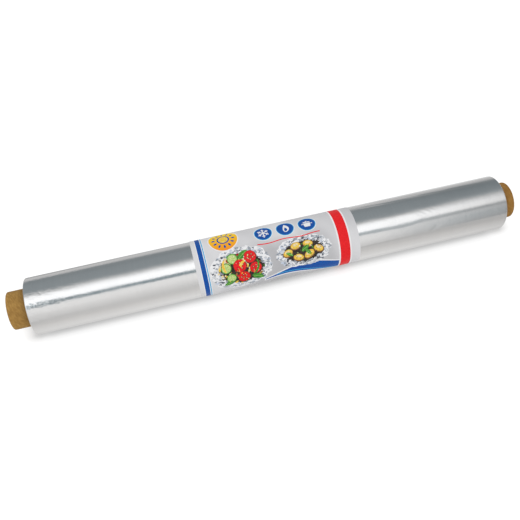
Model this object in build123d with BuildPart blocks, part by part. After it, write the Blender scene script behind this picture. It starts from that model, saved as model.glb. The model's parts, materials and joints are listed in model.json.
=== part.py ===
from build123d import *
import math
import os

# A roll of kitchen aluminium foil, wound on a cardboard tube and held by a paper band.
# It lies on its side along X, with Z up. The origin is on the surface that it lies on,
# under the middle of the tube. Lengths are in millimetres, angles in degrees.

# Cardboard tube
core_length = 416.2
core_diameter = 30.2
core_wall = 1.7
core_edge_round = 0.3

# Foil winding
foil_width = 390.0
winding_build = 7.7  # height of the wound foil on the tube
left_overhang = 15.4  # tube that stands out of the foil at its -X end
flat_depth = 0.19  # how far the soft winding is pressed in where it lies

# Hollow between two bundles of turns, which coils from the tube to the rim on each end
turn_pitch = 0.85
turn_gap = 0.3
turn_gap_depth = 0.35
turn_margin = 0.5  # plain foil left beside the tube and at the rim

# Paper band
label_width = 132.0
label_thickness = 0.12
label_slack = 0.03  # the band can be slid along the foil, but is tight where the roll lies on it
label_offset = 0.7  # middle of the band from the middle of the foil
label_lap = 12.0  # glued overlap, measured round the roll
lap_direction = -45.0  # middle of the overlap, from +Y towards +Z: low on the back

core_radius = core_diameter / 2
bore_radius = core_radius - core_wall
winding_radius = core_radius + winding_build
band_inside_radius = winding_radius + label_slack
label_radius = band_inside_radius + label_thickness

winding_level = winding_radius - flat_depth  # flats below the roll's axis
axis_height = winding_level + label_thickness

core_left = -core_length / 2
foil_left = core_left + left_overhang
foil_right = foil_left + foil_width
label_left = foil_left + (foil_width - label_width) / 2 + label_offset


def section(x):
    """The plane across the roll at this x, centred on the roll's axis, with its own x along +Y."""
    return Plane(origin=(x, 0, axis_height), x_dir=(0, 1, 0), z_dir=(1, 0, 0))


def pressed_circle(radius, level):
    """A layer's outline: a circle about the axis, pressed flat at this level below it."""
    with BuildSketch() as outline:
        Circle(radius)
        with Locations((0, -level)):
            Rectangle(2 * radius, radius, align=(Align.CENTER, Align.MAX), mode=Mode.SUBTRACT)
    return outline.sketch


def coil(first_radius, turns):
    """Half circles about two centres in turn, which open by one pitch in each turn."""
    for half_turn in range(2 * turns):
        second_half = half_turn % 2
        CenterArc(
            center=(second_half * turn_pitch / 2, 0),
            radius=first_radius + half_turn * turn_pitch / 2,
            start_angle=180 * second_half,
            arc_size=180,
        )


# The tube: spirally wound board, cut square, with its cut edges a little crushed
with BuildPart() as core:
    with BuildSketch(section(core_left)):
        Circle(core_radius)
        Circle(bore_radius, mode=Mode.SUBTRACT)
    extrude(amount=core_length)
    fillet(core.edges().filter_by(GeomType.CIRCLE), core_edge_round)

# The winding: all the turns of the foil as one body, tight on the tube
winding_outline = pressed_circle(winding_radius, winding_level)
coil_start = core_radius + turn_margin
coil_room = winding_radius - turn_margin - turn_gap - coil_start
coil_turns = int(coil_room / turn_pitch)
coil_end = coil_start + coil_turns * turn_pitch

with BuildSketch() as turn_hollow:
    with BuildLine():
        coil(coil_start, coil_turns)
        coil(coil_start + turn_gap, coil_turns)
        Line((coil_start, 0), (coil_start + turn_gap, 0))
        Line((coil_end, 0), (coil_end + turn_gap, 0))
    make_face()

with BuildPart() as foil_winding:
    with BuildSketch(section(foil_left)):
        add(winding_outline)
        Circle(core_radius, mode=Mode.SUBTRACT)
    extrude(amount=foil_width)
    for hollow_left in (foil_left, foil_right - turn_gap_depth):
        with BuildSketch(section(hollow_left)):
            add(turn_hollow.sketch)
        extrude(amount=turn_gap_depth, mode=Mode.SUBTRACT)

# The band: one strip of paper round the foil, with its end glued over its beginning
band_outside = pressed_circle(label_radius, axis_height)
band_inside = pressed_circle(band_inside_radius, winding_level)
lap_angle = math.degrees(label_lap / label_radius)
lap_start = lap_direction - lap_angle / 2

with BuildPart() as label_band:
    with BuildSketch(section(label_left)):
        add(band_outside)
        with BuildLine():
            lap_inside = CenterArc((0, 0), band_inside_radius, lap_start, lap_angle)
            lap_outside = CenterArc((0, 0), label_radius + label_thickness, lap_start, lap_angle)
            Line(lap_inside @ 0, lap_outside @ 0)
            Line(lap_inside @ 1, lap_outside @ 1)
        make_face()
        add(band_inside, mode=Mode.SUBTRACT)
    extrude(amount=label_width)

core.part.label = "core"
foil_winding.part.label = "foil_winding"
label_band.part.label = "label_band"

os.makedirs("parts", exist_ok=True)
export_step(core.part, "parts/core.step")
export_step(foil_winding.part, "parts/foil_winding.step")
export_step(label_band.part, "parts/label_band.step")
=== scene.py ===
"""The looks of a roll of aluminium foil: wound foil, cardboard tube and printed paper band."""

import json
import math
import random

import bpy
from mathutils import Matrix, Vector, geometry, noise


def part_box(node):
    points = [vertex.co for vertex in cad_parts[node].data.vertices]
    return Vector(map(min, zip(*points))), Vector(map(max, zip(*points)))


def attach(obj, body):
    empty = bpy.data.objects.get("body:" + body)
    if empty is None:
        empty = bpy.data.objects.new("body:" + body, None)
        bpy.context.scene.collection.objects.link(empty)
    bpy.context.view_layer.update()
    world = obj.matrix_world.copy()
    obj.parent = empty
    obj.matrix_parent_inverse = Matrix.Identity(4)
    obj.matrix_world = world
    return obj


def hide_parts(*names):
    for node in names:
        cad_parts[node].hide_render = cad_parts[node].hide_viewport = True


MM = 0.001

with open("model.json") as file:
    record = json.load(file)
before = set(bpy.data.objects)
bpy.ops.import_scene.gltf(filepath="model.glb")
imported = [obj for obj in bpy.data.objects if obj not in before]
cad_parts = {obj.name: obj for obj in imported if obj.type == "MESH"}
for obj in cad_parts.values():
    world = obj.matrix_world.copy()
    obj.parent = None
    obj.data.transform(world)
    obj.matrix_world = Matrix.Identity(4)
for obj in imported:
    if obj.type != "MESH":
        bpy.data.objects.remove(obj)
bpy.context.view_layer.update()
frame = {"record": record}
bpy.context.scene.view_settings.view_transform = "Standard"

# Sizes and places, in metres, from the frame
core_low, core_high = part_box("core")
foil_low, foil_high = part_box("foil_winding")
label_low, label_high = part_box("label_band")
core_bore = next(m for m in frame["record"]["mounts"] if m["name"] == "core_bore")
AXIS_Z = core_bore["pos_m"][2]
BORE_RADIUS = core_bore["dims"]["r_mm"] * MM
CORE_RADIUS = core_high.z - AXIS_Z
FOIL_RADIUS = foil_high.z - AXIS_Z
LABEL_RADIUS = label_high.z - AXIS_Z
FOIL_MIDDLE_X = (foil_low.x + foil_high.x) / 2
LABEL_MIDDLE_X = (label_low.x + label_high.x) / 2

# The photograph's camera, fitted to the outline of the roll
IMAGE_SIZE = 520
FOCAL_PIXELS = 632.0
CAMERA_DISTANCE = 522.9 * MM
CAMERA_AZIMUTH = -14.64
CAMERA_ELEVATION = 60.34
CAMERA_TARGET = Vector((FOIL_MIDDLE_X - 11.31 * MM, 0, AXIS_Z - 8.37 * MM))

# Angles round the roll are in degrees from +Y towards +Z. This one faces the camera.
FACING_ANGLE = 119.0


def smooth_step(value):
    """0 below 0, 1 above 1 and a smooth rise between them."""
    value = min(1.0, max(0.0, value))
    return value * value * (3 - 2 * value)


def wave(x, y, z):
    """Smooth noise between 0 and 1."""
    return 0.5 + 0.5 * noise.noise(Vector((x, y, z)))


def heading(degrees):
    """The cosine and sine of a direction."""
    turn = math.radians(degrees)
    return math.cos(turn), math.sin(turn)


def on_roll(x, radius, angle, level):
    """A point at this radius and angle round the axis, pressed flat at this height."""
    c, s = heading(angle)
    return Vector((x, radius * c, max(level, AXIS_Z + radius * s)))


# Shader helpers

WHITE = (1, 1, 1)


def add_node(tree, kind, inputs=(), **settings):
    """Adds a node with these settings; an input's value is a number, a colour or a socket to link."""
    node = tree.nodes.new("ShaderNode" + kind)
    for name, value in settings.items():
        setattr(node, name, value)
    for key, value in dict(inputs).items():
        if isinstance(value, bpy.types.NodeSocket):
            tree.links.new(value, node.inputs[key])
        else:
            node.inputs[key].default_value = value
    return node


def next_node(kind, inputs, **settings):
    """Adds a node to the tree that its linked inputs come from."""
    tree = next(value.id_data for value in inputs.values() if isinstance(value, bpy.types.NodeSocket))
    return add_node(tree, kind, inputs, **settings)


def math_node(operation, first, second=0.0):
    return next_node("Math", {0: first, 1: second}, operation=operation).outputs[0]


def hypotenuse(first, second):
    """The root of the sum of two squares."""
    squares = [math_node("MULTIPLY", side, side) for side in (first, second)]
    return math_node("SQRT", math_node("ADD", *squares))


def beyond(value, middle, half):
    """How far a coordinate lies outside the span about this middle."""
    offset = math_node("ABSOLUTE", math_node("SUBTRACT", value, middle))
    return math_node("MAXIMUM", math_node("SUBTRACT", offset, half))


def spread(value, low, high, from_low=0.3, from_high=0.7):
    """Maps one range, as a rule that of noise, onto another."""
    inputs = {0: value, 1: from_low, 2: from_high, 3: low, 4: high}
    return next_node("MapRange", inputs).outputs[0]


def own_place(tree):
    """A point's place in the object's own space."""
    return add_node(tree, "TexCoord").outputs["Object"]


def own_axes(tree):
    """The x, y and z of that place."""
    return add_node(tree, "SeparateXYZ", {0: own_place(tree)}).outputs


def across_and_up(tree):
    """The y of that place and its height above the roll's axis."""
    _, y, z = own_axes(tree)
    return y, math_node("SUBTRACT", z, AXIS_Z)


def scaled_place(place, scale, shift=(0, 0, 0)):
    return next_node("Mapping", {0: place, "Location": shift, "Scale": scale}).outputs[0]


def turned_place(place, degrees):
    """A place turned about its third axis."""
    inputs = {0: place, "Angle": math.radians(degrees)}
    return next_node("VectorRotate", inputs, rotation_type="Z_AXIS").outputs[0]


def noise_at(place, detail):
    return next_node("TexNoise", {0: place, "Scale": 1.0, "Detail": detail}).outputs["Fac"]


def stretched_noise(tree, scale, detail, shift=(0, 0, 0)):
    """Noise in the object's own space, with a scale for each of its axes."""
    return noise_at(scaled_place(own_place(tree), scale, shift), detail)


def mix_colours(share, first, second, blend="MIX"):
    """A mix of two colours, each given as three numbers or a socket."""
    first, second = [(*colour, 1) if isinstance(colour, tuple) else colour for colour in (first, second)]
    inputs = {0: share, 6: first, 7: second}
    return next_node("Mix", inputs, data_type="RGBA", blend_type=blend).outputs["Result"]


def multiply(first, second):
    return mix_colours(1.0, first, second, "MULTIPLY")


def grey(level, cool=0.0):
    """A grey, made cooler or (below 0) warmer by this share."""
    return (level * (1 - 1.6 * cool), level, level * (1 + 0.7 * cool if cool > 0 else 1 + 1.6 * cool))


def ramp(value, stops, low=0.0, high=1.0):
    """Greys by a value of 0 to 1; a stop is a place from low to high, a level and perhaps how cool it is."""
    node = next_node("ValToRGB", {0: value})
    elements = node.color_ramp.elements
    while len(elements) < len(stops):
        elements.new(0.5)
    for element, (place, *tone) in zip(elements, stops):
        element.position = (place - low) / (high - low)
        element.color = (*grey(*tone), 1)
    return node.outputs[0]


def bump(height, strength, distance, normal=None):
    inputs = {"Strength": strength, "Distance": distance, "Height": height}
    if normal is not None:
        inputs["Normal"] = normal
    return next_node("Bump", inputs).outputs[0]


def new_material(name, **constants):
    """A material, its tree and its shader, with constants on the shader's own sockets."""
    material = bpy.data.materials.new(name)
    material.use_nodes = True
    shader = material.node_tree.nodes["Principled BSDF"]
    for key, value in constants.items():
        shader.inputs[key.replace("_", " ")].default_value = value
    return material, material.node_tree, shader


def connect(shader, **values):
    """Links values to the shader's sockets."""
    for key, value in values.items():
        shader.id_data.links.new(value, shader.inputs[key.replace("_", " ")])


def stage_material(name):
    """A material with an empty tree, for what only gives light or carries the roll."""
    material = bpy.data.materials.new(name)
    material.use_nodes = True
    material.node_tree.nodes.clear()
    return material, material.node_tree


# Meshes

def add_mesh(name, points, faces, materials, slots, sharp_angle=None):
    """A smooth mesh object at the origin with one material slot index for each face."""
    mesh = bpy.data.meshes.new(name)
    mesh.from_pydata([tuple(p) for p in points], [], faces)
    for material in materials:
        mesh.materials.append(material)
    mesh.polygons.foreach_set("material_index", slots)
    mesh.polygons.foreach_set("use_smooth", [True] * len(mesh.polygons))
    if sharp_angle is not None:
        mesh.set_sharp_from_angle(angle=math.radians(sharp_angle))
    mesh.update()
    piece = bpy.data.objects.new(name, mesh)
    bpy.context.collection.objects.link(piece)
    return piece


def ring_faces(ring_count, points_in_ring):
    """Quads between neighbouring rings, the last of which joins the first, facing outwards."""
    faces = []
    for ring in range(ring_count):
        here = ring * points_in_ring
        there = (ring + 1) % ring_count * points_in_ring
        for j in range(points_in_ring):
            k = (j + 1) % points_in_ring
            faces.append((here + j, here + k, there + k, there + j))
    return faces


def steps(start, end, count):
    """Evenly spaced values from start to end, without the last."""
    return [start + (end - start) * i / count for i in range(count)]


# The wound foil

FOIL_POINTS_ROUND = 216
FOIL_FINE_END = 14 * MM  # the points lie closer together near both ends
FOIL_CREASED = (116 * MM, 163 * MM)  # and where the creases are
FOIL_ROWS = (24, 150, 62, 12, 22)  # rows of points in each stretch, from the left end to the right end
FOIL_CORNER_ROWS = 6
FOIL_FACE_ROWS = 72
FOIL_HIDDEN_ROWS = 8
FOIL_ROUND = 0.9 * MM  # the outer turns are pressed round at both ends
FLAT_TOP = FOIL_RADIUS - FOIL_ROUND  # the end's flat face reaches up to this radius
FOIL_EDGE_ANGLE = 18.0  # the free end of the strip, behind the roll
FOIL_EDGE_STEP = 0.05 * MM
FOIL_EDGE_SLOPE = 14.0
FOIL_EDGE_GAP = 0.12  # degrees between the two columns of points at the free end

# The coiled hollow between bundles of turns, as on the solid
TURN_PITCH = 0.85 * MM
TURN_GAP = 0.3 * MM
TURN_DEPTH = 0.35 * MM
TURN_MARGIN = 0.5 * MM
TURN_START = CORE_RADIUS + TURN_MARGIN
TURN_COUNT = int((FOIL_RADIUS - TURN_MARGIN - TURN_GAP - TURN_START) / TURN_PITCH)
TURN_END = TURN_START + TURN_COUNT * TURN_PITCH
TURN_FADE = 0.15 * MM  # the hollow fades out this near the rounded rim
END_UNEVEN = 0.06 * MM
RING_SCALE = 5200  # of the noise across the cut edges of the turns, per metre

# Small dents and creases: x in mm, angle, length in mm, turn against the axis, depth and width in mm
FOIL_MARKS = (
    (-190.6, 112.5, 2.6, 60, 0.05, 0.6),
    (-188.0, 116.0, 3.6, 25, 0.06, 0.6),
    (-185.4, 114.0, 2.8, -30, 0.045, 0.6),
    (-183.2, 117.5, 3.2, 20, 0.04, 0.6),
    (-173.0, 118.5, 26.0, 2, 0.06, 2.5),
    (-180.6, 96.5, 5.5, 62, 0.07, 0.5),
    (-171.5, 73.5, 4.0, 62, 0.05, 0.6),
    (122.5, 110.5, 8.0, 28, 0.035, 0.9),
    (125.5, 108.0, 9.0, 33, 0.045, 0.9),
    (128.5, 111.0, 8.0, 38, 0.035, 0.9),
    (131.5, 107.5, 9.0, 36, 0.035, 0.9),
    (134.0, 103.5, 7.0, 30, 0.03, 0.9),
    (132.0, 146.0, 12.0, -42, 0.06, 0.9),
    (135.5, 143.5, 9.0, -36, 0.04, 0.9),
    (156.0, 167.5, 15.0, -30, 0.07, 0.9),
    (92.0, 51.0, 34.0, 3, 0.12, 0.9),
    (118.0, 56.0, 30.0, 3, 0.11, 0.9),
    (99.0, 57.5, 22.0, 2, 0.06, 0.8),
    (119.0, 85.0, 66.0, 2, 0.15, 4.0),
    (101.0, 94.5, 44.0, 2, 0.12, 3.0),
    (86.0, 62.5, 26.0, 3, 0.10, 0.9),
    (104.0, 66.0, 30.0, 4, 0.09, 1.0),
    (133.0, 64.0, 34.0, 3, 0.07, 0.9),
    (164.0, 66.5, 28.0, 3, 0.06, 0.9),
    (-134.0, 66.0, 26.0, 3, 0.03, 1.0),
    (60.0, 20.0, 9.0, 50, 0.05, 1.2),
    (-120.0, 300.0, 12.0, 35, 0.05, 1.2),
    (150.0, 250.0, 8.0, -45, 0.05, 1.0),
)

# A long shallow buckle that widens to the right: where it starts, is deepest and ends, in mm
BUCKLE_X = (70.0, 110.0, 124.0)
BUCKLE_ANGLE = 118.0
BUCKLE_DEPTH = 0.22
BUCKLE_WIDTH = 4.6

# Waves of the foil: depth, length along the roll and length round it in mm, and a shift of the noise
FOIL_WAVES = ((0.10, 60, 22, 0), (0.13, 24, 11, 40), (0.010, 6, 6, -20))
FOIL_END_WAVE = (0.05, 2.6, 4, 9)
FOIL_END_FADE = 5.0  # this last wave fades with distance from the nearer end, in mm
WOBBLE_FADE = (-178 * MM, -140 * MM)  # the wobble of the left end fades between these places


def way_round(start, end):
    """The distance round the foil from one angle to another, in mm."""
    return math.radians(end - start) * FOIL_RADIUS / MM


def buckle_depth(x, angle):
    """How deep the long shallow buckle is at this place, in metres."""
    start, deepest, end = BUCKLE_X
    place = x / MM
    if place < deepest:
        along = smooth_step((place - start) / (deepest - start))
    else:
        along = smooth_step((end - place) / (end - deepest))
    return BUCKLE_DEPTH * MM * along * math.exp(-((way_round(BUCKLE_ANGLE, angle) / BUCKLE_WIDTH) ** 2))


def mark_depth(x, angle):
    """How deep the dents and creases are at this place, in metres."""
    depth = 0.0
    for mark_x, mark_angle, length, turn, mark, width in FOIL_MARKS:
        along = x / MM - mark_x
        if abs(along) > length:
            continue
        across = way_round(mark_angle, angle)
        c, s = heading(turn)
        down_line, off_line = along * c + across * s, along * -s + across * c
        fade = smooth_step(1.6 * (1 - abs(down_line) / (0.5 * length)))
        depth += mark * fade * math.exp(-((off_line / width) ** 2))
    return depth * MM


def foil_dent(x, angle):
    """How far the outer turn lies below the winding's full radius."""
    c, s = heading(angle)
    y, z = FOIL_RADIUS / MM * c, FOIL_RADIUS / MM * s

    def ripple(depth, length_along, length_round, shift):
        return depth * wave(x / MM / length_along, y / length_round + shift, z / length_round)

    from_end = min(x - foil_low.x, foil_high.x - x) / MM
    depth = sum(ripple(*sizes) for sizes in FOIL_WAVES)
    depth += math.exp(-from_end / FOIL_END_FADE) * ripple(*FOIL_END_WAVE)
    past_edge = (angle - FOIL_EDGE_ANGLE) % 360
    step = FOIL_EDGE_STEP * max(0.0, 1 - past_edge / FOIL_EDGE_SLOPE)
    return depth * MM + step + mark_depth(x, angle) + buckle_depth(x, angle)


def end_hollow(radius, angle):
    """How far an end of the winding lies back at this radius and angle."""
    c, s = heading(angle)
    coil_radius = radius
    if s < 0:
        coil_radius = math.hypot(radius * c - TURN_PITCH / 2, radius * s) - TURN_PITCH / 2
    uneven = END_UNEVEN * wave(radius / MM * 1.7, c * 0.8, s * 0.8)
    into_turn = (coil_radius - TURN_START) % TURN_PITCH
    if not TURN_START < coil_radius < TURN_END + TURN_GAP or into_turn > TURN_GAP:
        return uneven
    return uneven + TURN_DEPTH * math.sin(math.pi * into_turn / TURN_GAP) ** 0.5


def foil_angles():
    """Angles of the columns, with two close together at the strip's free end."""
    even = steps(0, 360, FOIL_POINTS_ROUND)
    apart = [angle for angle in even if abs(angle - FOIL_EDGE_ANGLE) > 3 * FOIL_EDGE_GAP]
    return sorted(apart + [FOIL_EDGE_ANGLE - FOIL_EDGE_GAP, FOIL_EDGE_ANGLE])


def foil_profile():
    """Points of the wall's outline as (kind, x, radius), once round it."""
    left, right = foil_low.x, foil_high.x
    ends = [left + FOIL_ROUND, left + FOIL_FINE_END, *FOIL_CREASED]
    ends += [right - FOIL_FINE_END, right - FOIL_ROUND]
    outer = [x for stretch in zip(ends, ends[1:], FOIL_ROWS) for x in steps(*stretch)][1:]
    corner = [
        (FOIL_ROUND * (1 - math.sin(turn)), FLAT_TOP + FOIL_ROUND * math.cos(turn))
        for turn in steps(0, math.pi / 2, FOIL_CORNER_ROWS)
    ]
    radii = steps(FLAT_TOP, CORE_RADIUS, FOIL_FACE_ROWS) + [CORE_RADIUS]
    return (
        [("outer", left + inset, r) for inset, r in reversed(corner)]
        + [("outer", x, FOIL_RADIUS) for x in outer]
        + [("outer", right - inset, r) for inset, r in corner]
        + [("right", right, r) for r in radii]
        + [("inner", x, CORE_RADIUS) for x in steps(right, left, FOIL_HIDDEN_ROWS)[1:]]
        + [("left", left, r) for r in reversed(radii)]
    )


def foil_point(kind, x, radius, angle):
    if kind == "outer":
        radius -= foil_dent(x, angle)
    elif kind != "inner" and radius > CORE_RADIUS:
        inwards = 1 if kind == "left" else -1
        below_top = FLAT_TOP - radius
        radius -= foil_dent(x, angle) * smooth_step(1 - below_top / FOIL_ROUND)
        x += inwards * end_hollow(radius, angle) * smooth_step(below_top / TURN_FADE)
    return on_roll(x, radius, angle, foil_low.z)


def foil_surface_material():
    """Bright rolled foil: fine lines along the strip, and a slight wobble that is strongest at the left."""
    finish = {"Metallic": 1.0, "Anisotropic": 0.45, "Anisotropic_Rotation": 0.25}
    material, tree, shader = new_material("foil_bright", **finish)
    wobble = stretched_noise(tree, (230, 340, 340), 3, (7, 0, 0))
    lines = stretched_noise(tree, (900, 6, 6), 3)
    broad = stretched_noise(tree, (45, 9, 9), 2, (3, 0, 0))
    specks = stretched_noise(tree, (1500, 700, 700), 1, (0, 5, 0))
    tone = mix_colours(spread(lines, 0, 1), (0.905, 0.912, 0.920), (0.94, 0.945, 0.95))
    roughness = math_node("ADD", spread(lines, 0.0, 0.04), spread(broad, 0.13, 0.19))
    wobble_share = spread(own_axes(tree)[0], 1.0, 0.25, *WOBBLE_FADE)
    wobbly = bump(wobble, wobble_share, 0.17 * MM)
    rolled = bump(lines, 0.10, 0.02 * MM, wobbly)
    speckled = bump(specks, 0.06, 0.02 * MM, rolled)
    tangent = add_node(tree, "Tangent", direction_type="RADIAL", axis="X").outputs[0]
    connect(shader, Base_Color=tone, Roughness=roughness, Normal=speckled, Tangent=tangent)
    return material


def foil_end_material():
    """The cut edges of the turns: fine rings, duller than the face of the foil."""
    material, tree, shader = new_material("foil_cut_edges", Metallic=1.0)
    radius = hypotenuse(*across_and_up(tree))
    ring_place = add_node(tree, "CombineXYZ", {0: math_node("MULTIPLY", radius, RING_SCALE)})
    rings = noise_at(ring_place.outputs[0], 2)
    tone = mix_colours(spread(rings, 0, 1), (0.52, 0.53, 0.54), (0.86, 0.87, 0.88))
    roughness = spread(stretched_noise(tree, (120, 160, 160), 2), 0.34, 0.5)
    ringed = bump(rings, 0.5, 0.06 * MM)
    connect(shader, Base_Color=tone, Roughness=roughness, Normal=ringed)
    return material


def make_foil():
    profile, angles = foil_profile(), foil_angles()
    points = [foil_point(kind, x, radius, a) for kind, x, radius in profile for a in angles]
    faces = ring_faces(len(profile), len(angles))
    slots = [0 if kind == "outer" else 1 for kind, _, _ in profile for _ in angles]
    materials = [foil_surface_material(), foil_end_material()]
    piece = add_mesh("wound_foil", points, faces, materials, slots, sharp_angle=50)
    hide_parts("foil_winding")
    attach(piece, "root")


# The cardboard tube

SEAM_LEAD = 74 * MM  # how far the spiral seam runs along the tube in one turn
SEAM_GROOVE = 0.14 * MM
SEAM_SPAN = 2.4  # degrees from the seam that its own columns take up
SEAM_COLUMNS = ((-1.6, 0.0), (-0.6, 0.3), (0.0, 1.0), (0.4, 0.1), (1.5, 0.0))  # angle and groove share
OUTER_SEAM = 95.0  # angle at the tube's left end
BORE_SEAM = 250.0
CORE_CORNER = 0.3 * MM
CORE_CRUSHED = 0.12 * MM  # the cut edges are crushed by up to this
CORE_CRUSHED_REACH = 0.9  # this far from the end, in mm
CORE_RAGGED = 0.10 * MM
CORE_SOFT = 0.03 * MM
CORE_POINTS_ROUND = 120
CORE_ROWS = (34, 26)  # rows of points on the parts that stand out, left and right
CORE_HIDDEN_ROWS = 24
CORE_HIDDEN_MARGIN = 3 * MM  # what is hidden starts this far inside the foil
CORE_CORNER_ROWS = 4
CORE_FACE_ROWS = 9
BORE_ROWS = 150
BOARD_SLANT = -25.0  # lean of the board's fibres, in degrees from straight round the tube
BOARD_FIBRE_SHARE = 0.72  # what the fibres add to the board's tone; its clouds add the rest
BOARD_END_LIGHT_AND_SHADE = ((1.08, 1.07, 1.07), (0.92, 0.82, 0.74))  # painted light and shade: lighter at the tube's left end, darker and browner at its right end
PAINTED_SHADE_WIDTH = 6.5 * MM  # painted shade: the board is darker beside the foil, where the foil's end shades it
PAINTED_SHADE_TONE = (0.65, 0.64, 0.65)
PLY_THICKNESS = 0.34 * MM


def seam_turn(x):
    return 360 * (x - core_low.x) / SEAM_LEAD


def core_columns():
    """(angle, outer groove share, bore groove share) of each column of the tube's mesh."""
    columns = [(OUTER_SEAM + a, share, 0.0) for a, share in SEAM_COLUMNS]
    columns += [(BORE_SEAM + a, 0.0, share) for a, share in SEAM_COLUMNS]
    for angle in steps(0, 360, CORE_POINTS_ROUND):
        if min(abs(angle - OUTER_SEAM), abs(angle - BORE_SEAM)) > SEAM_SPAN:
            columns.append((angle, 0.0, 0.0))
    return sorted(columns)


def corner_points(x, radius, start, end):
    """Rounded corner about this centre, from one direction to another in degrees."""
    found = []
    for i in range(CORE_CORNER_ROWS + 1):
        c, s = heading(start + (end - start) * i / CORE_CORNER_ROWS)
        found.append((x + CORE_CORNER * c, radius + CORE_CORNER * s))
    return found


def core_profile():
    """Points of the wall's outline as (kind, x, radius, turn of the columns), once round it."""
    left, right = core_low.x, core_high.x
    inside_left, inside_right = left + CORE_CORNER, right - CORE_CORNER
    below_outer, above_bore = CORE_RADIUS - CORE_CORNER, BORE_RADIUS + CORE_CORNER
    left_hidden, right_hidden = foil_low.x + CORE_HIDDEN_MARGIN, foil_high.x - CORE_HIDDEN_MARGIN
    hidden_start = seam_turn(left_hidden)
    short_way = (seam_turn(right_hidden) - hidden_start + 180) % 360 - 180
    rows = []

    def add_wall(kind, radius, places):
        rows.extend((kind, x, radius, seam_turn(x)) for x in places)

    def add_end(kind, side, places):
        rows.extend((kind, x, radius, seam_turn(side)) for x, radius in places)

    add_wall("outer", CORE_RADIUS, steps(inside_left, left_hidden, CORE_ROWS[0]))
    for i, x in enumerate(steps(left_hidden, right_hidden, CORE_HIDDEN_ROWS)):
        rows.append(("outer", x, CORE_RADIUS, hidden_start + short_way * i / CORE_HIDDEN_ROWS))
    add_wall("outer", CORE_RADIUS, steps(right_hidden, inside_right, CORE_ROWS[1]))
    add_end("outer", right, corner_points(inside_right, below_outer, 90, 0))
    add_end("face", right, [(right, r) for r in steps(below_outer, above_bore, CORE_FACE_ROWS)[1:]])
    add_end("bore", right, corner_points(inside_right, above_bore, 0, -90))
    add_wall("bore", BORE_RADIUS, steps(inside_right, inside_left, BORE_ROWS)[1:])
    add_end("bore", left, corner_points(inside_left, above_bore, 270, 180))
    add_end("face", left, [(left, r) for r in steps(above_bore, below_outer, CORE_FACE_ROWS)[1:]])
    add_end("outer", left, corner_points(inside_left, below_outer, 180, 90)[:-1])
    return rows


def core_point(row, column):
    kind, x, radius, turn = row
    angle, outer_share, bore_share = column
    y, z = heading(angle + turn)
    from_end = min(x - core_low.x, core_high.x - x) / MM
    if kind == "outer":
        crushed = CORE_CRUSHED * math.exp(-from_end / CORE_CRUSHED_REACH) * wave(y * 4, z * 4, x / MM)
        soft = CORE_SOFT * wave(x / MM / 3, y * 5, z * 5)
        radius -= outer_share * SEAM_GROOVE + crushed + soft
    elif kind == "bore":
        radius += bore_share * SEAM_GROOVE
    if from_end < 2 * CORE_CORNER / MM:
        inwards = 1 if x < 0 else -1
        x += inwards * CORE_RAGGED * wave(radius / MM * 2.3, y * 3, z * 3)
    return on_roll(x, radius, angle + turn, core_low.z)


def wound_noise(tree, slant, across, along, radius):
    """Noise in streaks round the tube at this slant, with its scales across and along the streaks."""
    arc = math_node("MULTIPLY", math_node("ARCTAN2", *across_and_up(tree)), radius)
    unrolled_place = add_node(tree, "CombineXYZ", {0: own_axes(tree)[0], 1: arc}).outputs[0]
    slanted = turned_place(unrolled_place, slant)
    return noise_at(scaled_place(slanted, (across, along, 1)), 2.5)


def board_material(name, light, dark, radius):
    """Brown board: cloudy tone, slanting streaks of fibre and a dull, slightly rough surface, with painted
    light and shade along the tube and painted shade beside the foil.
    """
    material, tree, shader = new_material(name, Specular_IOR_Level=0.12)
    clouds = stretched_noise(tree, (90, 110, 110), 3)
    fibres = wound_noise(tree, BOARD_SLANT, 1300, 260, radius)
    grain = stretched_noise(tree, (2600, 2600, 2600), 2)
    from_clouds = math_node("MULTIPLY", clouds, 1 - BOARD_FIBRE_SHARE)
    mixed = math_node("ADD", from_clouds, math_node("MULTIPLY", fibres, BOARD_FIBRE_SHARE))
    x = own_axes(tree)[0]
    # painted light and shade along the tube
    end_light_and_shade = mix_colours(spread(x, 0, 1, core_low.x, core_high.x), *BOARD_END_LIGHT_AND_SHADE)
    # painted shade on the board next to the foil's ends
    past_foil = beyond(x, FOIL_MIDDLE_X, (foil_high.x - foil_low.x) / 2)
    painted_shade = mix_colours(spread(past_foil, 0, 1, 0, PAINTED_SHADE_WIDTH), PAINTED_SHADE_TONE, WHITE)
    colour = mix_colours(spread(mixed, 0, 1), dark, light)
    colour = multiply(multiply(colour, end_light_and_shade), painted_shade)
    roughness = spread(clouds, 0.62, 0.78)
    grainy = bump(grain, 0.25, 0.03 * MM, bump(fibres, 0.35, 0.05 * MM))
    connect(shader, Base_Color=colour, Roughness=roughness, Normal=grainy)
    return material


def board_edge_material():
    """The cut end of the board: thin plies, one round the other."""
    material, tree, shader = new_material("board_plies", Roughness=0.8)
    radius = hypotenuse(*across_and_up(tree))
    ply = math_node("FRACT", math_node("MULTIPLY", radius, 1 / PLY_THICKNESS))
    grain = spread(stretched_noise(tree, (1200, 900, 900), 3), 0.5, 1.0)
    lined = math_node("MULTIPLY", spread(ply, 0, 1, 0.0, 0.3), grain)
    tone = mix_colours(lined, (0.14, 0.08, 0.035), (0.36, 0.23, 0.11))
    connect(shader, Base_Color=tone, Normal=bump(lined, 0.5, 0.08 * MM))
    return material


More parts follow.
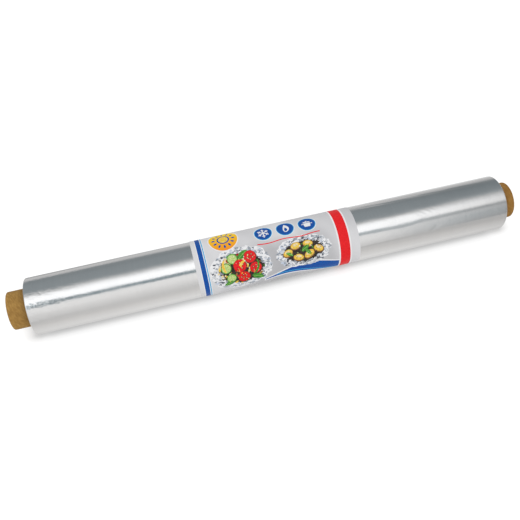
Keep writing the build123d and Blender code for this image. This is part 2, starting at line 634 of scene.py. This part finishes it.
def make_core():
    rows, columns = core_profile(), core_columns()
    points = [core_point(row, column) for row in rows for column in columns]
    faces = ring_faces(len(rows), len(columns))
    slot_of = {"outer": 0, "face": 1, "bore": 2}
    slots = [slot_of[row[0]] for row in rows for _ in columns]
    materials = [
        board_material("board_outside", (0.455, 0.267, 0.076), (0.25, 0.132, 0.030), CORE_RADIUS),
        board_edge_material(),
        board_material("board_bore", (0.36, 0.23, 0.085), (0.24, 0.145, 0.05), BORE_RADIUS),
    ]
    piece = add_mesh("board_tube", points, faces, materials, slots, sharp_angle=60)
    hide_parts("core")
    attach(piece, "root")


# The printed band. Its print is laid out flat in mm: x from the band's middle to the right,
# and up from the line that faces the camera.

BAND_WIDTH = (label_high.x - label_low.x) / MM
BAND_HALF = BAND_WIDTH / 2
BAND_THICKNESS = 0.12
BAND_LAP = 12.0
BAND_RAMP = 2.5  # the strip climbs onto its own beginning over this length
BAND_RADIUS = LABEL_RADIUS / MM
BAND_ROUND = 2 * math.pi * BAND_RADIUS
BAND_LENGTH = BAND_ROUND + BAND_LAP
BAND_START = -45.0 - math.degrees(BAND_LAP / BAND_RADIUS) / 2
FACING_PLACE = math.radians(FACING_ANGLE - BAND_START) * BAND_RADIUS
ROW_STEP = 1.2
COLUMN_STEP = 6.0


def on_ellipse(x, up, half_width, half_height, turn):
    """The point of an ellipse about this centre, in a direction in radians."""
    return x + half_width * math.cos(turn), up + half_height * math.sin(turn)


def around(x, up, reach, degrees):
    """The point at this distance and in this direction from another."""
    c, s = heading(degrees)
    return x + reach * c, up + reach * s


def turned(points, x, up, degrees):
    """Points turned about 0 and then moved by x and up."""
    c, s = heading(degrees)
    return [(x + a * c - b * s, up + a * s + b * c) for a, b in points]


def ellipse(x, up, width, height, turn=0.0, count=28):
    points = [on_ellipse(0, 0, width / 2, height / 2, way) for way in steps(0, 2 * math.pi, count)]
    return turned(points, x, up, turn)


def disc(x, up, diameter, count=40):
    return ellipse(x, up, diameter, diameter, count=count)


def bar(x, up, length, width, turn):
    """A rectangle that starts at this point."""
    corners = ((0, -width / 2), (length, -width / 2), (length, width / 2), (0, width / 2))
    return turned(corners, x, up, turn)


def leaf(x, up, length, width, turn):
    """A pointed leaf that starts at this point."""
    count = 10
    edge = [(length * i / count, width / 2 * math.sin(math.pi * i / count) ** 0.8) for i in range(count + 1)]
    return turned(edge + [(a, -b) for a, b in reversed(edge[1:-1])], x, up, turn)


def bow(x, up, radius, width, start, end, count=14):
    """A bent strip with round ends, from one direction to another about this centre."""
    outer, inner = [], []
    for i in range(count + 1):
        way = start + (end - start) * i / count
        half = width / 2 * math.sin(math.pi * (0.08 + 0.84 * i / count)) ** 0.5
        outer.append(around(x, up, radius + half, way))
        inner.append(around(x, up, radius - half, way))
    return outer + inner[::-1]


def ribbon(start, end, middle, thickness, count=36):
    """A strip from one x to another, about a curve and with a thickness that may both change with x."""
    xs = [start + (end - start) * i / count for i in range(count + 1)]
    top = [(x, middle(x) + thickness(x) / 2) for x in xs]
    bottom = [(x, middle(x) - thickness(x) / 2) for x in xs]
    return top + bottom[::-1]


FOLD_TONES = ("white", "white", "pale_grey", "pale_grey", "grey", "grey", "grey", "pale_blue", "dark_grey")


def crumpled_foil(x, up, width, height, folds, seed):
    """A dish of crumpled foil: an uneven edge, many small folds round it and shade inside it."""
    draw = random.Random(seed)
    outline = []
    for angle in steps(0, 2 * math.pi, 52):
        reach = 0.5 * draw.uniform(0.93, 1.05)
        outline.append(on_ellipse(x, up, width * reach, height * reach, angle))
    prints = [("white", outline), ("dark", ellipse(x, up, width * 0.74, height * 0.70, 0, 40))]
    for angle in steps(0, 2 * math.pi, folds):
        reach = draw.uniform(0.33, 0.49)
        size = draw.uniform(1.0, 2.3)
        middle = on_ellipse(x, up, width * reach, height * reach, angle)
        turn = draw.uniform(0, 2 * math.pi)
        fold = []
        for corner in range(draw.choice((3, 4, 4))):
            way = turn + corner * 1.75 + draw.uniform(-0.3, 0.3)
            far = size * draw.uniform(0.5, 1.1)
            fold.append(on_ellipse(*middle, far, 0.7 * far, way))
        prints.append((draw.choice(FOLD_TONES), fold))
    return prints


def scattered(x, up, width, height, count, paints, sizes, seed):
    """Small uneven pieces of food, spread over an ellipse."""
    draw = random.Random(seed)
    prints = []
    for _ in range(count):
        angle, reach = draw.uniform(0, 2 * math.pi), 0.5 * math.sqrt(draw.random())
        middle = on_ellipse(x, up, width * reach, height * reach, angle)
        length = draw.uniform(*sizes)
        paint = draw.choice(paints)
        thickness = length * draw.uniform(0.4, 0.8)
        prints.append((paint, ellipse(*middle, length, thickness, draw.uniform(0, 180), 9)))
    return prints


def tomato_slice(x, up, size, turn):
    prints = [("dark", disc(x + 0.4, up - 0.6, size)), ("dark_red", disc(x, up, size))]
    prints.append(("red", disc(x, up, size * 0.9)))
    for way in steps(turn, turn + 360, 5):
        middle = around(x, up, size * 0.22, way)
        prints.append(("dark_red", ellipse(*middle, size * 0.26, size * 0.17, way, 14)))
        prints.append(("cream", ellipse(*middle, size * 0.1, size * 0.06, way, 8)))
    return prints


def cucumber_slice(x, up, size, turn):
    prints = [("dark", disc(x + 0.4, up - 0.6, size, 28)), ("green", disc(x, up, size, 28))]
    prints.append(("pale_green", disc(x, up, size * 0.84, 28)))
    for way in steps(turn, turn + 360, 6):
        seed = ellipse(*around(x, up, size * 0.2, way), size * 0.15, size * 0.07, way, 8)
        prints.append(("cream", seed))
    return prints


def green_leaf(x, up, length, width, turn):
    vein = bar(*around(x, up, 0.1 * length, turn), 0.75 * length, 0.22, turn)
    return [("green", leaf(x, up, length, width, turn)), ("pale_green", vein)]


def potato(x, up, width, height, turn):
    """A baked half: brown skin, golden face with a pale shine and browned specks."""
    c, s = heading(turn)
    shine = ellipse(x - 0.1 * width * s, up + 0.12 * width * c, width * 0.5, height * 0.34, turn, 16)
    return [
        ("dark", ellipse(x + 0.3, up - 0.5, width, height, turn, 26)),
        ("brown", ellipse(x, up, width, height, turn, 26)),
        ("yellow", ellipse(x, up + 0.05 * height, width * 0.88, height * 0.8, turn, 26)),
        ("cream", shine),
    ] + scattered(x, up, width * 0.7, height * 0.6, 7, ("brown", "cream", "brown"), (0.5, 1.1), int(x * 7))


def snow_sign(x, up, size):
    """Six plain arms with side branches."""
    shapes = []
    for way in steps(30, 390, 6):
        shapes.append(bar(x, up, size * 0.5, size * 0.09, way))
        fork = around(x, up, size * 0.27, way)
        shapes += [bar(*fork, size * 0.17, size * 0.07, way + side) for side in (-50, 50)]
    return [("white", shape) for shape in shapes]


def flame_sign(x, up, size):
    outline = []
    for turn in steps(0, 2 * math.pi, 28):
        lift = (1 - math.cos(turn)) / 2
        outline.append((
            x + size * 0.3 * math.sin(turn) * (1 - 0.75 * lift ** 2.2) + size * 0.07 * math.sin(3 * lift),
            up - size * 0.42 + size * 0.9 * lift,
        ))
    inner = [(x + (a - x) * 0.5, up - size * 0.13 + (b - up) * 0.5) for a, b in outline]
    return [("white", outline), ("blue", inner)]


def pot_sign(x, up, size):
    """A pot with a lid, a knob and two handles."""
    half = size / 2
    body = ((-0.62, 0.14), (-0.52, -0.6), (-0.36, -0.7), (0.36, -0.7), (0.52, -0.6), (0.62, 0.14))
    lid = ((-0.68, 0.26), (0.68, 0.26), (0.5, 0.48), (-0.5, 0.48))
    shapes = [[(x + half * a, up + half * b) for a, b in outline] for outline in (body, lid)]
    bars = ((-0.13, 0.61, 0.26, 0.17), (-0.95, -0.06, 0.3, 0.16), (0.65, -0.06, 0.3, 0.16))
    shapes += [bar(x + half * a, up + half * b, half * c, half * d, 0) for a, b, c, d in bars]
    return [("white", shape) for shape in shapes]


def sun_disc(x, up, size):
    """A plain gold disc with a ring and twelve rays."""
    prints = [("white", disc(x, up, size * 1.07, 48)), ("gold", disc(x, up, size, 48))]
    for way in steps(0, 360, 12):
        prints.append(("blue", leaf(*around(x, up, size * 0.27, way), size * 0.15, size * 0.075, way)))
    return prints + [("blue", disc(x, up, size * 0.44, 36)), ("yellow", disc(x, up, size * 0.34, 36))]


# Stripes round the band: paint, and the x of both sides. The first is the ground of the whole print.
STRIPES = (
    ("ground", -BAND_HALF, BAND_HALF),
    ("white", 48.2, 58.8),
    ("red", 49.4, 57.6),
    ("white", -62.6, -56.4),
    ("blue", -62.0, -58.4),
    ("cyan", -57.8, -57.0),
)
BIG_PIECES = ("green", "red", "dark_red", "yellow", "brown", "cream")
SMALL_PIECES = ("cream", "pale_green", "dark", "yellow", "white")
HERBS = ("green", "green", "pale_green", "dark", "white")


def stripes():
    start, end = FACING_PLACE - BAND_LENGTH, FACING_PLACE
    return [(paint, [(a, start), (b, start), (b, end), (a, end)]) for paint, a, b in STRIPES]


def long_wave():
    """A wave that swells towards the right stripe and ends at it."""
    end = 48.2

    def middle(x):
        return -24.5 + 5.5 * math.sin((x + 14) / 62 * math.pi * 1.15)

    def height(x):
        return 1.2 + 10.5 * smooth_step((x + 14) / 50)

    return [
        ("white", ribbon(-14, end, middle, lambda x: height(x) + 2.6)),
        ("blue", ribbon(-13, end, middle, height)),
        ("cyan", ribbon(-4, end, lambda x: middle(x) - 0.5 * height(x) + 1.9, lambda x: 0.9)),
    ]


def many(print_one, *places):
    return [shape for place in places for shape in print_one(*place)]


def vegetable_dish(x, up):
    bows = (("yellow", 5, 0, 6.5, 2.2, 100, 215), ("red", -7, -1, 6, 2.0, -30, 80))
    bows += (("yellow", -5, 5, 9, 2.0, 150, 215), ("green", 4, 2, 9.5, 1.6, -60, 20))
    return (
        crumpled_foil(x, up, 50, 37, 340, 4)
        + scattered(x, up, 37, 26, 90, BIG_PIECES, (1.6, 4.2), 11)
        + many(cucumber_slice, (-43, -5, 8.5, 10), (-37, 1.5, 8.5, 40), (-40, -14, 8, 0))
        + many(green_leaf, (-33, 0, 11, 5, 35), (-24, -15, 11, 5, -25), (-38, -17, 9, 4, 200))
        + many(tomato_slice, (-32, -5, 10.5, 15), (-23, 0.5, 10, 50), (-30, -15, 10, 33), (-20, -9, 9.5, 5))
        + [(paint, bow(x + a, up + b, *sizes)) for paint, a, b, *sizes in bows]
        + scattered(x, up, 36, 25, 60, SMALL_PIECES, (0.5, 1.3), 12)
    )


def potato_dish(x, up):
    potatoes = ((7, -4, 8.5, 6, 20), (15, -9, 9, 6.2, -15), (14, 0.5, 8.6, 6, 8))
    potatoes += ((24, -8, 9.4, 6.4, 30), (32, -5, 8.4, 6, -25), (24, 0.5, 8.4, 5.8, -8))
    return (
        crumpled_foil(x, up, 45, 26, 290, 9)
        + many(potato, *potatoes)
        + many(green_leaf, (18, -4.5, 8, 3.4, 30), (21, -3, 7, 3, -50), (11, -6.5, 6.5, 2.6, 150))
        + scattered(x, up, 30, 14, 46, HERBS, (0.5, 1.4), 13)
    )


def sign_discs(up):
    """Three discs in a row, each with a plain sign."""
    prints = []
    for x, sign in ((-8, snow_sign), (10, flame_sign), (28, pot_sign)):
        prints += [("white", disc(x, up, 15.4)), ("cyan", disc(x, up, 14.4)), ("blue", disc(x, up, 13.2))]
        prints += sign(x, up, 9.5)
    return prints


def printed_shapes():
    """The print as (paint, outline), each over those before it."""
    thin_line = ribbon(-15, 36, lambda x: 8.0 + 0.5 * math.sin(x / 4.2), lambda x: 0.8)
    dishes = vegetable_dish(-31, -8) + potato_dish(20, -4.5)
    return stripes() + long_wave() + dishes + sign_discs(18) + [("red", thin_line)] + sun_disc(-40, 21, 23)


PAINTS = {
    "white": ((0.80, 0.81, 0.83), (0.88, 0.88, 0.89)),
    "pale_grey": ((0.52, 0.54, 0.57), (0.66, 0.68, 0.71)),
    "grey": ((0.24, 0.27, 0.31), (0.40, 0.43, 0.48)),
    "dark_grey": ((0.05, 0.06, 0.08), (0.14, 0.15, 0.18)),
    "dark": ((0.020, 0.016, 0.013), (0.06, 0.045, 0.035)),
    "pale_blue": ((0.50, 0.56, 0.68), (0.62, 0.67, 0.76)),
    "blue": ((0.001, 0.068, 0.33), (0.002, 0.092, 0.42)),
    "cyan": ((0.035, 0.34, 0.66), (0.06, 0.43, 0.74)),
    "red": ((0.76, 0.005, 0.010), (0.88, 0.010, 0.015)),
    "dark_red": ((0.30, 0.012, 0.010), (0.48, 0.03, 0.02)),
    "yellow": ((0.80, 0.48, 0.05), (0.95, 0.70, 0.10)),
    "green": ((0.03, 0.20, 0.02), (0.10, 0.38, 0.04)),
    "pale_green": ((0.38, 0.58, 0.14), (0.55, 0.72, 0.28)),
    "brown": ((0.26, 0.11, 0.03), (0.46, 0.22, 0.07)),
    "cream": ((0.78, 0.62, 0.32), (0.90, 0.76, 0.48)),
    "bare": ((0.72, 0.71, 0.68), (0.80, 0.79, 0.76)),  # the paper's own colour, on its unprinted side
}


PRINT_SHEEN = 0.2
# Lightness of the ground from the band's left edge to its right edge, low on the front and on the top
GROUND_LOW = ((0.0, 1.0), (0.18, 0.85), (0.36, 0.42), (0.53, 0.12), (0.72, 0.25), (0.88, 0.62), (1.0, 0.8))
GROUND_HIGH = ((0.0, 1.0), (0.3, 0.9), (0.58, 0.78), (1.0, 0.5))
GROUND_CHANGE = (-9 * MM, 1 * MM)  # low turns into high between these places across the roll
GOLD_CHANGE = (-4 * MM, 17 * MM)


def printed_paper(name):
    """A satin, very slightly fibrous paper that still lacks its colour, and its fibres."""
    material, tree, shader = new_material("print_" + name, Specular_IOR_Level=PRINT_SHEEN)
    fibres = stretched_noise(tree, (1500, 1500, 1500), 3)
    cockle = bump(stretched_noise(tree, (38, 60, 60), 1), 0.15, 0.4 * MM)
    fibrous = bump(fibres, 0.12, 0.02 * MM, cockle)
    connect(shader, Roughness=spread(fibres, 0.40, 0.50), Normal=fibrous)
    return material, tree, shader, fibres


def print_material(name, first, second):
    """Ink with the slight mottle of print."""
    material, tree, shader, _ = printed_paper(name)
    mottle = stretched_noise(tree, (700, 700, 700), 3, (1, 2, 3))
    colour = mix_colours(spread(mottle, 0, 1, 0.35, 0.65), first, second)
    connect(shader, Base_Color=colour)
    return material


def gold_material():
    """Ink that runs from yellow at the back of the disc to orange at its front."""
    material, tree, shader, _ = printed_paper("gold")
    rise = spread(own_axes(tree)[1], 0, 1, *GOLD_CHANGE)
    connect(shader, Base_Color=mix_colours(rise, (0.90, 0.24, 0.010), (1.0, 0.72, 0.008)))
    return material


def ground_material():
    """Silver-grey ink with broad diagonal sheens."""
    material, tree, shader, fibres = printed_paper("ground")
    slanted = turned_place(own_place(tree), -28)
    sheen = noise_at(scaled_place(slanted, (52, 5, 5), (0.9, 0, 0)), 1.5)
    x, y, _ = own_axes(tree)
    along = spread(x, 0, 1, label_low.x, label_high.x)
    low, high = ramp(along, GROUND_LOW), ramp(along, GROUND_HIGH)
    base = mix_colours(spread(y, 0, 1, *GROUND_CHANGE), low, high)
    both = math_node("ADD", spread(sheen, -0.24, 0.24), spread(fibres, -0.03, 0.03))
    lightness = math_node("ADD", base, both)
    tone = mix_colours(lightness, (0.43, 0.43, 0.447), (0.72, 0.72, 0.735))
    connect(shader, Base_Color=tone)
    return material


def band_rows():
    """Places along the strip with a row of points, closer where it climbs onto itself."""
    rows = steps(0, BAND_LENGTH, round(BAND_LENGTH / ROW_STEP)) + [BAND_LENGTH]
    return sorted(rows + steps(BAND_ROUND - BAND_RAMP, BAND_ROUND, 5))


def band_place(x, along, share):
    """A point of the strip, from its inner side (share 0) to its printed side (share 1)."""
    climb = smooth_step((along - BAND_ROUND + BAND_RAMP) / BAND_RAMP)
    radius = BAND_RADIUS - BAND_THICKNESS * (1 - share) + BAND_THICKNESS * climb
    level = foil_low.z + (label_low.z - foil_low.z) * share
    angle = BAND_START + math.degrees(along / BAND_RADIUS)
    return on_roll(LABEL_MIDDLE_X + x * MM, radius * MM, angle, level)


def unrolled(outline):
    """A printed outline as places on the strip, counterclockwise there."""
    points = [Vector((x, FACING_PLACE - up)) for x, up in outline]
    twice_area = sum(a.cross(b) for a, b in zip(points, points[1:] + points[:1]))
    return points if twice_area > 0 else points[::-1]


def flat_print():
    """The print cut into triangles: flat points and (corners, paint) of each triangle."""
    prints = printed_shapes()
    corners, outlines, lines = [], [], []
    for _, outline in prints:
        first = len(corners)
        corners += unrolled(outline)
        outlines.append(list(range(first, len(corners))))

    def add_line(start, end):
        corners.extend((Vector(start), Vector(end)))
        lines.append((len(corners) - 2, len(corners) - 1))

    for along in band_rows()[1:-1]:
        add_line((-BAND_HALF, along), (BAND_HALF, along))
    for x in steps(-BAND_HALF, BAND_HALF, round(BAND_WIDTH / COLUMN_STEP))[1:]:
        add_line((x, 0), (x, BAND_LENGTH))
    points, _, triangles, _, _, sources = geometry.delaunay_2d_cdt(corners, lines, outlines, 0, 1e-5, True)
    return points, [(t, prints[max(found)][0]) for t, found in zip(triangles, sources) if found]


def make_band():
    flat, triangles = flat_print()
    count = len(flat)
    points = [band_place(p.x, p.y, 1) for p in flat] + [band_place(p.x, p.y, 0) for p in flat]
    names = ["ground", "gold", *PAINTS]
    bare = names.index("bare")
    faces, slots, directed = [], [], set()
    for (a, b, c), paint in triangles:
        faces += [(c, b, a), (a + count, b + count, c + count)]
        slots += [names.index(paint), bare]
        directed.update(((a, b), (b, c), (c, a)))
    for a, b in sorted(directed):
        if (b, a) not in directed:
            faces.append((a, b, b + count, a + count))
            slots.append(bare)
    materials = [ground_material(), gold_material()]
    materials += [print_material(name, *colours) for name, colours in PAINTS.items()]
    piece = add_mesh("printed_band", points, faces, materials, slots, sharp_angle=40)
    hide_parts("label_band")
    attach(piece, "root")


# The studio

WORLD_LEVEL = 0.89
SOFT_BOX_WATTS = 1.6
SOFT_BOX_SIZE = (1.6, 0.9)
SOFT_BOX_DISTANCE = 1.3
SOFT_BOX_ELEVATION = 48.0
SOFT_BOX_SIDEWAYS = -0.10


def set_facing(item, target, back, distance):
    """Puts a camera or lamp this far back from the point that it faces."""
    item.location = target + back * distance
    item.rotation_euler = back.to_track_quat("Z", "Y").to_euler()
    bpy.context.collection.objects.link(item)


def add_camera():
    front, side = heading(CAMERA_AZIMUTH)
    level, up = heading(CAMERA_ELEVATION)
    data = bpy.data.cameras.new("camera")
    data.lens = FOCAL_PIXELS / IMAGE_SIZE * data.sensor_width
    data.clip_start = 10 * MM
    camera = bpy.data.objects.new("camera", data)
    set_facing(camera, CAMERA_TARGET, Vector((side * level, -front * level, up)), CAMERA_DISTANCE)
    bpy.context.scene.camera = camera


def signed_place(tree, axis, reach):
    """The object's own coordinate on this axis, as 0 to 1 from -reach to +reach."""
    return spread(own_axes(tree)[axis], 0, 1, -reach, reach)


FLOOR_HALF_SIZE = 3.0
FLOOR_COLOUR = (0.85, 0.85, 0.85, 1)
FLOOR_COLOUR_FOR_EYE = (0.30, 0.30, 0.30, 1)  # what the eye sees of it is mostly its own white
FLOOR_REACH = 500.0
# The floor's glow as the foil mirrors it, a painted reflection: distance in front of the roll (minus) or
# behind it in mm, lightness and coolness. The darker tones close to the roll are its painted shadow.
FLOOR_TONES = (
    (-500, 0.580, -0.012), (-190, 0.575, -0.012), (-95, 0.590, -0.016), (-60, 0.655, -0.016),
    (-40, 0.705, -0.012), (-30, 0.735, -0.012), (-24, 0.665, -0.008), (-18, 0.665, -0.008),
    (-14, 0.640, -0.008), (14, 0.700, 0.012), (40, 0.730, 0.010), (65, 0.650, 0.004),
    (90, 0.615, -0.002), (130, 0.585, -0.008), (200, 0.550, -0.006), (500, 0.505, 0.002),
)
# Shares of these tones by place along the roll, from 300 mm left of its middle to 300 mm right of it
SHARES_REACH = 300 * MM
FRONT_SHARES_NEAR = (
    (0.0, 0.89), (0.2, 0.97), (0.35, 1.01), (0.5, 1.02), (0.65, 1.01), (0.78, 0.92), (0.9, 0.81),
)
FRONT_SHARES_FAR = (
    (0.0, 0.90), (0.2, 0.98), (0.35, 1.0), (0.5, 0.99), (0.65, 0.97), (0.78, 0.89), (0.9, 0.78),
)
BACK_SHARES_NEAR = ((0.0, 0.54), (0.22, 0.59), (0.34, 0.78), (0.5, 0.96), (0.78, 1.11), (1.0, 1.13))
BACK_SHARES_FAR = ((0.0, 0.93), (0.22, 0.94), (0.5, 0.94), (0.78, 0.90), (1.0, 0.90))
FRONT_CHANGE = (-30, -42)  # near turns into far between these distances in mm
BACK_CHANGE = (70, 120)
FLOOR_SHADE_REACH = 11 * MM  # the contact shadow fades out this far from the roll's surface
CONTACT_SHADE = ((0.30, 0.28), (0.46, 0.50), (0.60, 0.68), (0.68, 0.74), (0.80, 0.78), (0.95, 0.84))
# The soft shade round the place where the roll lies: its tone by distance in mm from a strip of floor
SHADE_HALF_WIDTH = 13.4 * MM
SHADE_PAST_END = 3.5 * MM  # the strip goes this far past the foil on the right
SHADE_STRETCH = 0.55  # the shade is wider past the ends than along the sides
SHADE_TONES = ((0, 0.36), (2, 0.43), (3, 0.49), (4, 0.59), (5, 0.665), (6, 0.725), (7, 0.77), (8.5, 0.84))


def floor_shares(across, along, near, far, change):
    """Shares by place along the roll, which change from the near row to the far one with distance."""
    start, end = [(y / FLOOR_REACH + 1) / 2 for y in change]
    share = spread(across, 0, 1, start, end)
    return mix_colours(share, ramp(along, near), ramp(along, far))


def floor_in_foil(tree):
    """The floor as the foil mirrors it: a painted reflection, glowing by distance from the roll and by place
    along it, with a painted shadow close to the roll.
    """
    across = signed_place(tree, 1, FLOOR_REACH * MM)
    along = signed_place(tree, 0, SHARES_REACH)
    front = floor_shares(across, along, FRONT_SHARES_NEAR, FRONT_SHARES_FAR, FRONT_CHANGE)
    back = floor_shares(across, along, BACK_SHARES_NEAR, BACK_SHARES_FAR, BACK_CHANGE)
    shares = mix_colours(math_node("GREATER_THAN", across, 0.5), front, back)
    tones = multiply(ramp(across, FLOOR_TONES, -FLOOR_REACH, FLOOR_REACH), shares)
    return add_node(tree, "Emission", {"Color": tones}).outputs[0]


def shade_round_roll(tree):
    """The shade's level by distance from the strip of floor under the roll."""
    x, y, _ = own_axes(tree)
    middle = FOIL_MIDDLE_X + SHADE_PAST_END / 2
    past_end = beyond(x, middle, foil_high.x + SHADE_PAST_END - middle)
    along = math_node("MULTIPLY", past_end, SHADE_STRETCH)
    distance = hypotenuse(along, beyond(y, 0.0, SHADE_HALF_WIDTH))
    reach = SHADE_TONES[-1][0]
    return ramp(spread(distance, 0, 1, 0, reach * MM), SHADE_TONES, 0, reach)


def floor_for_eye(tree):
    """White, with the roll's soft shadow and a closer shadow where it touches."""
    near = add_node(tree, "AmbientOcclusion", {"Distance": FLOOR_SHADE_REACH})
    contact = ramp(near.outputs["AO"], CONTACT_SHADE)
    level = math_node("MINIMUM", contact, shade_round_roll(tree))
    light = add_node(tree, "Emission", {"Color": (1, 1, 1, 1), "Strength": level}).outputs[0]
    matt = add_node(tree, "BsdfDiffuse", {"Color": FLOOR_COLOUR_FOR_EYE}).outputs[0]
    return add_node(tree, "AddShader", {0: matt, 1: light}).outputs[0]


def add_floor():
    """A white floor. The eye sees it white with the roll's shadow; the foil sees the floor glow in its own
    tones, a painted reflection with a painted shadow near the roll.
    """
    material, tree = stage_material("white_floor")
    shown = add_node(tree, "BsdfDiffuse", {"Color": FLOOR_COLOUR}).outputs[0]
    path = add_node(tree, "LightPath").outputs
    for ray, surface in (("Is Glossy Ray", floor_in_foil(tree)), ("Is Camera Ray", floor_for_eye(tree))):
        shown = add_node(tree, "MixShader", {0: path[ray], 1: shown, 2: surface}).outputs[0]
    add_node(tree, "OutputMaterial", {0: shown})
    size = FLOOR_HALF_SIZE
    corners = [(-size, -size, 0), (size, -size, 0), (size, size, 0), (-size, size, 0)]
    floor = add_mesh("floor", corners, [(0, 1, 2, 3)], [material], [0])


TENT_RADIUS = 1.3
TENT_HALF_LENGTH = 2.2
TENT_PANELS = 36
TENT_LEAN = ((-0.6, -9.0), (0.2, 2.0))  # degrees by which the bands lie nearer the front, by place in m
# What the foil mirrors: direction across the roll in degrees (0 is the front, 90 straight up and 180 the
# back), lightness and coolness. Towards the right the light box lies nearer the front and everything dims.
TENT_LEFT = (
    (0, 0.605, -0.01), (13, 0.665, -0.01), (21, 0.72, -0.01), (30, 0.775, -0.01), (43, 0.79, -0.01),
    (46.5, 0.77), (62.5, 1.10), (82, 1.08), (90, 0.88), (98, 0.56), (106, 0.34, 0.03), (114, 0.275, 0.06),
    (145, 0.258, 0.06), (160, 0.235, 0.06), (172, 0.26, 0.04), (180, 0.40, 0.01),
)
TENT_RIGHT = (
    (0, 0.36, 0.01), (12, 0.405, 0.02), (21, 0.425, 0.03), (30, 0.435, 0.03), (38, 0.475, 0.02),
    (46, 0.495, 0.01), (56, 0.53), (60, 0.70, -0.004), (67, 0.87, -0.006), (80, 0.86, -0.002), (89, 0.67),
    (98, 0.46), (107, 0.315, 0.04), (118, 0.245, 0.06), (140, 0.215, 0.07), (158, 0.195, 0.07),
    (172, 0.22, 0.04), (180, 0.36, 0.01),
)
TENT_CHANGE = (0.50, 0.74)  # the left row of tones turns into the right one between these places
TENT_GAP = ((46.5, 1.0), (49.5, 0.0), (59.0, 0.0), (62.5, 1.0))  # the dark gap under the light box
TENT_REACH = 1.0  # places along the tent go from this far left to this far right, in m
# The gap's share of the tones, and the share of all the front at the tent's right, by place in m
TENT_GAP_TONES = (
    (-0.52, 0.85, 0.06), (-0.475, 0.05, 0.12), (-0.41, 0.06, 0.12), (-0.38, 0.28, 0.12), (0.20, 0.28, 0.12),
    (0.85, 0.78, 0.01),
)
TENT_RIGHT_END = ((0.80, 1.0), (0.90, 0.74))
TENT_FRONT = (84, 96)  # the front ends between these directions


def tent_material():
    """Light by direction across the roll and by place along it."""
    material, tree = stage_material("tent_light")
    x = own_axes(tree)[0]
    across, up = across_and_up(tree)
    way = math_node("ARCTAN2", up, math_node("MULTIPLY", across, -1.0))
    (from_x, from_lean), (to_x, to_lean) = TENT_LEAN
    lean = spread(x, from_lean / 180, to_lean / 180, from_x, to_x)
    leaning = math_node("ADD", math_node("MULTIPLY", way, 1 / math.pi), lean)
    left, right, gap = [ramp(leaning, tones, 0, 180) for tones in (TENT_LEFT, TENT_RIGHT, TENT_GAP)]
    along = signed_place(tree, 0, TENT_REACH)
    gap_tone = ramp(along, TENT_GAP_TONES, -TENT_REACH, TENT_REACH)
    right_end = ramp(along, TENT_RIGHT_END, -TENT_REACH, TENT_REACH)
    past_front = spread(leaning, 0, 1, *[angle / 180 for angle in TENT_FRONT])
    tones = mix_colours(spread(x, 0, 1, *TENT_CHANGE), left, right)
    tones = multiply(tones, mix_colours(gap, gap_tone, WHITE))
    tones = multiply(tones, mix_colours(past_front, right_end, WHITE))
    light = add_node(tree, "Emission", {"Color": tones}).outputs[0]
    add_node(tree, "OutputMaterial", {0: light})
    return material


def add_tent():
    """A light tent over the roll: bright overhead, pale in front and dark behind. Only gloss sees it."""
    arch = [math.pi * i / TENT_PANELS for i in range(TENT_PANELS + 1)]
    points = []
    for x in (-TENT_HALF_LENGTH, TENT_HALF_LENGTH):
        points += [(x, -TENT_RADIUS * math.cos(a), AXIS_Z + TENT_RADIUS * math.sin(a)) for a in arch]
    row = len(arch)
    faces = [(i, i + 1, row + i + 1, row + i) for i in range(TENT_PANELS)]
    faces += [tuple(range(row)), tuple(range(2 * row - 1, row - 1, -1))]
    tent = add_mesh("light_tent", points, faces, [tent_material()], [0] * len(faces))
    tent.visible_camera = False
    tent.visible_diffuse = False
    tent.visible_shadow = False


def add_light():
    """Soft light from all round, and a large soft box above the front."""
    world = bpy.data.worlds.new("white_room")
    bpy.context.scene.world = world
    world.use_nodes = True
    tree = world.node_tree
    background = tree.nodes["Background"]
    background.inputs["Color"].default_value = (1, 1, 1, 1)
    path = add_node(tree, "LightPath").outputs
    straight = math_node("MAXIMUM", path["Is Camera Ray"], path["Is Transmission Ray"])
    connect(background, Strength=spread(straight, WORLD_LEVEL, 1.0, 0.0, 1.0))

    data = bpy.data.lights.new("soft_box", "AREA")
    data.shape = "RECTANGLE"
    data.size, data.size_y = SOFT_BOX_SIZE
    data.energy = SOFT_BOX_WATTS
    lamp = bpy.data.objects.new("soft_box", data)
    lamp.visible_glossy = False
    level, up = heading(SOFT_BOX_ELEVATION)
    back = Vector((SOFT_BOX_SIDEWAYS, -level, up)).normalized()
    set_facing(lamp, Vector((0, 0, AXIS_Z)), back, SOFT_BOX_DISTANCE)


add_camera()
add_floor()
add_tent()
add_light()
make_core()
make_foil()
make_band()
